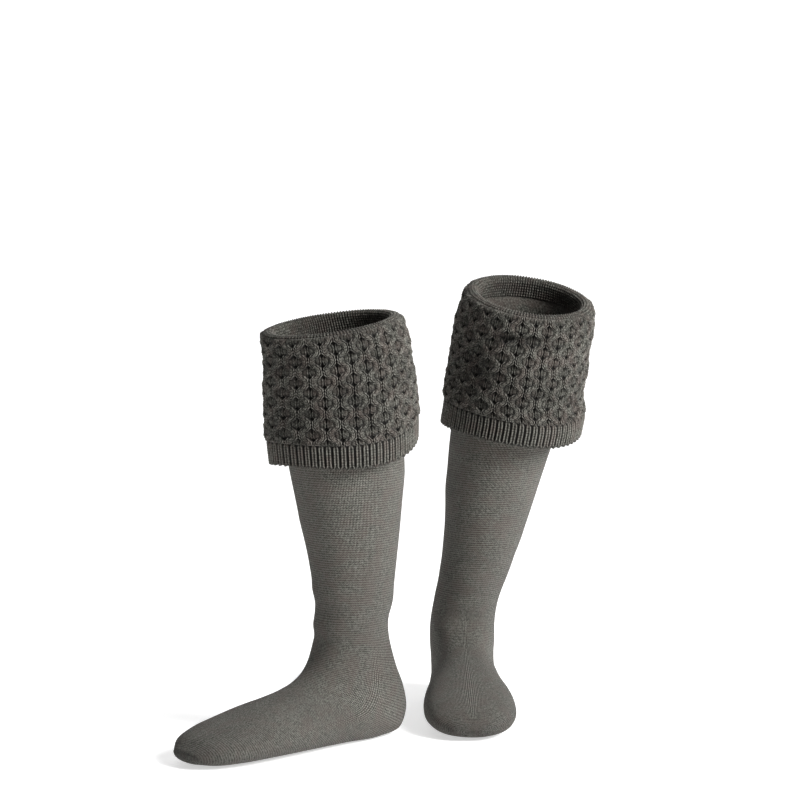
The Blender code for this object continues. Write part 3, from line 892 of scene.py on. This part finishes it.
def make_yarn(name, stitches_drawn):
    """Melange yarn; where the mesh has no stitches of its own the material draws them."""
    material, tree, shader = new_material(name)
    fibre, patch, broad = (spread_noise(tree, kind) for kind in NOISES)
    colour = blend_colour(tree, fibre, YARN_MIDDLE, YARN_LIGHT)
    colour = blend_colour(tree, maths(tree, "MULTIPLY", patch, WARM_SHARE), colour, YARN_WARM)
    darker = maths(tree, "MULTIPLY_ADD", broad, -BROAD_SHARE, BROAD_SHARE)
    colour = blend_colour(tree, darker, colour, YARN_DARK_AND_SHADE)
    hollow_node = tree.nodes.new("ShaderNodeAttribute")
    hollow_node.attribute_name = "hollow"
    hollow = hollow_node.outputs["Fac"]
    height = maths(tree, "MULTIPLY", fibre, FUZZ_HEIGHT)
    if stitches_drawn:
        uv = tree.nodes.new("ShaderNodeUVMap")
        uv.uv_map = "stitches"
        split = tree.nodes.new("ShaderNodeSeparateXYZ")
        tree.links.new(uv.outputs["UV"], split.inputs["Vector"])
        across = maths(tree, "FRACT", split.outputs["X"])
        away = maths(tree, "ABSOLUTE", maths(tree, "MULTIPLY_ADD", across, 2.0, -1.0))
        legs_up = maths(tree, "SINE", maths(tree, "MULTIPLY", away, math.pi))
        slanted = maths(tree, "MULTIPLY_ADD", away, STITCH_SLANT, split.outputs["Y"])
        wave = maths(tree, "COSINE", maths(tree, "MULTIPLY", slanted, 2 * math.pi))
        beat = maths(tree, "MULTIPLY_ADD", wave, STITCH_BEAT, STITCH_BODY)
        stitch = maths(tree, "MULTIPLY", legs_up, beat)
        height = maths(tree, "ADD", height, stitch)
        # The core between the legs of each drawn stitch gets painted shade.
        core = maths(tree, "MULTIPLY_ADD", stitch, CORE_LIFT, CORE_DEPTH)
        hollow = maths(tree, "MAXIMUM", hollow, core)
    # A painted highlight where hollow is low, then painted shade where it is high.
    top = maths(tree, "MULTIPLY", steps_between(tree, hollow, HIGHLIGHT_REACH, 0.0), HIGHLIGHT_SHARE)
    colour = blend_colour(tree, top, colour, YARN_HIGHLIGHT)
    colour = blend_colour(tree, maths(tree, "MULTIPLY", hollow, SHADE_SHARE), colour, YARN_DARK_AND_SHADE)
    tree.links.new(colour, shader.inputs["Base Color"])
    bump = tree.nodes.new("ShaderNodeBump")
    bump.inputs["Distance"].default_value = BUMP_DISTANCE
    bump.inputs["Strength"].default_value = BUMP_STRENGTH
    tree.links.new(height, bump.inputs["Height"])
    tree.links.new(bump.outputs["Normal"], shader.inputs["Normal"])
    shader.inputs["Roughness"].default_value = 0.9
    shader.inputs["Specular IOR Level"].default_value = 0.1
    shader.inputs["Sheen Weight"].default_value = 0.08
    shader.inputs["Sheen Roughness"].default_value = 0.6
    return material


cuff_yarn = make_yarn("cuff_yarn", stitches_drawn=False)
leg_yarn = make_yarn("leg_yarn", stitches_drawn=True)
print("materials:", cuff_yarn.name, leg_yarn.name)

# %% [markdown]
# ## Putting each piece on the body
#
# Every piece rides on the one body of the imported model and takes its yarn, and the solid it
# dresses is hidden.

for side in SOCKS:
    ground, hem, leg = grounds[side], hems[side], legs[side]
    cables = [front_ropes[side], rear_ropes[side]]
    slots = [(piece, "cuff_knit") for piece in (ground, *cables)]
    for piece, slot in (*slots, (hem, "hem_knit"), (leg, "plain_knit")):
        piece.data.materials.append(leg_yarn if piece is leg else cuff_yarn)
        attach(piece, "root")
    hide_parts(f"{side}_cuff")
    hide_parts(f"{side}_hem")
    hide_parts(f"{side}_leg_and_foot")
    print(side, "sock: five pieces on the frame")

# %% [markdown]
# ## Floor, light and camera
#
# The photograph has a white ground and a large soft light from the right, so the left side of
# each cuff falls into shade. A wide floor that curves up behind, a broad area light and a
# pale world do the same.

# %% Build the floor
FLOOR_HALF_WIDTH = 7.0
FLOOR_TONE, FLOOR_ROUGHNESS, FLOOR_GLOW = 0.86, 0.7, 0.52

# How far back and how high the floor is, in metres, from the front to the top of the backdrop.
FLOOR_PROFILE = (
    (-6.0, 0.0), (1.6, 0.0), (2.0, 0.03), (2.35, 0.12),
    (2.6, 0.3), (2.75, 0.6), (2.8, 1.2), (2.8, 5.0),
)


def make_floor():
    """A pale floor that curves up into a backdrop."""
    points = [(x, y, z + SOLE_HEIGHT * MM) for y, z in FLOOR_PROFILE
              for x in (-FLOOR_HALF_WIDTH, FLOOR_HALF_WIDTH)]
    faces = [(2 * i, 2 * i + 1, 2 * i + 3, 2 * i + 2) for i in range(len(FLOOR_PROFILE) - 1)]
    data = bpy.data.meshes.new("floor")
    data.from_pydata(points, [], faces)
    data.shade_smooth()
    made = bpy.data.objects.new("floor", data)
    bpy.context.scene.collection.objects.link(made)
    material, tree, shader = new_material("pale_floor")
    shader.inputs["Base Color"].default_value = (FLOOR_TONE, FLOOR_TONE, FLOOR_TONE, 1)
    shader.inputs["Roughness"].default_value = FLOOR_ROUGHNESS
    shader.inputs["Emission Color"].default_value = (1, 1, 1, 1)
    shader.inputs["Emission Strength"].default_value = FLOOR_GLOW
    data.materials.append(material)
    made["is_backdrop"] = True
    return made


floor = make_floor()
print("floor at", round(SOLE_HEIGHT * MM, 4), "m")

# %% [markdown]
# ## The two lamps and the lens
#
# The key lamp stands low at the right and does nearly all the work. The fill lamp is weak, and
# the pale world lifts the shadows. A long lens from far away keeps the two socks in the
# proportions that they have in the photograph.

# %% Lights and camera
PAIR_MIDDLE = (0.1, 0.1, -0.1)
KEY_PLACE, KEY_SIZE, KEY_POWER = (1.85, -1.12, 1.05), 1.1, 106
FILL_PLACE, FILL_SIZE, FILL_POWER = (-1.8, -2.2, 0.8), 2.0, 4
WORLD_STRENGTH = 0.14
LENS, SENSOR = 134.78, 36.0
CAMERA_PLACE, CAMERA_TILT = (0.06273, -2.7347, 0.21656), 84.0


def add_light(name, place, target, size, power):
    """A square area light that looks at a point."""
    data = bpy.data.lights.new(name, "AREA")
    data.size, data.energy = size, power
    made = bpy.data.objects.new(name, data)
    bpy.context.scene.collection.objects.link(made)
    made.location = place
    aim = np.array(place) - np.array(target)
    tilt = math.acos(aim[2] / np.linalg.norm(aim))
    made.rotation_euler = (tilt, 0.0, math.atan2(aim[1], aim[0]) + math.pi / 2)
    return made


add_light("key", KEY_PLACE, PAIR_MIDDLE, KEY_SIZE, KEY_POWER)
add_light("fill", FILL_PLACE, PAIR_MIDDLE, FILL_SIZE, FILL_POWER)
world = bpy.data.worlds.new("studio")
world.use_nodes = True
world.node_tree.nodes["Background"].inputs["Color"].default_value = (1, 1, 1, 1)
world.node_tree.nodes["Background"].inputs["Strength"].default_value = WORLD_STRENGTH
bpy.context.scene.world = world

camera_data = bpy.data.cameras.new("camera")
camera_data.lens = LENS
camera_data.sensor_width = SENSOR
camera = bpy.data.objects.new("camera", camera_data)
camera.location = CAMERA_PLACE
camera.rotation_euler = (math.radians(CAMERA_TILT), 0.0, 0.0)
bpy.context.scene.collection.objects.link(camera)
bpy.context.scene.camera = camera
bpy.context.scene.view_settings.view_transform = "Standard"
print("camera", round(abs(camera.location.y), 2), "m in front")

# %% [markdown]
# ## Measuring the dressed pair
#
# The box round the dressed pair should hardly be larger than the box round the solids. Both
# are measured, and how far the dressed box reaches past the other is printed.

# %% Finish
visual_box = [list(corner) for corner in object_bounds()]
grown = [round((visual_box[1][k] - cad_box[1][k]) * 1000, 1) for k in range(3)]
print("the visual box is past the CAD box by", grown, "mm at its high corner")
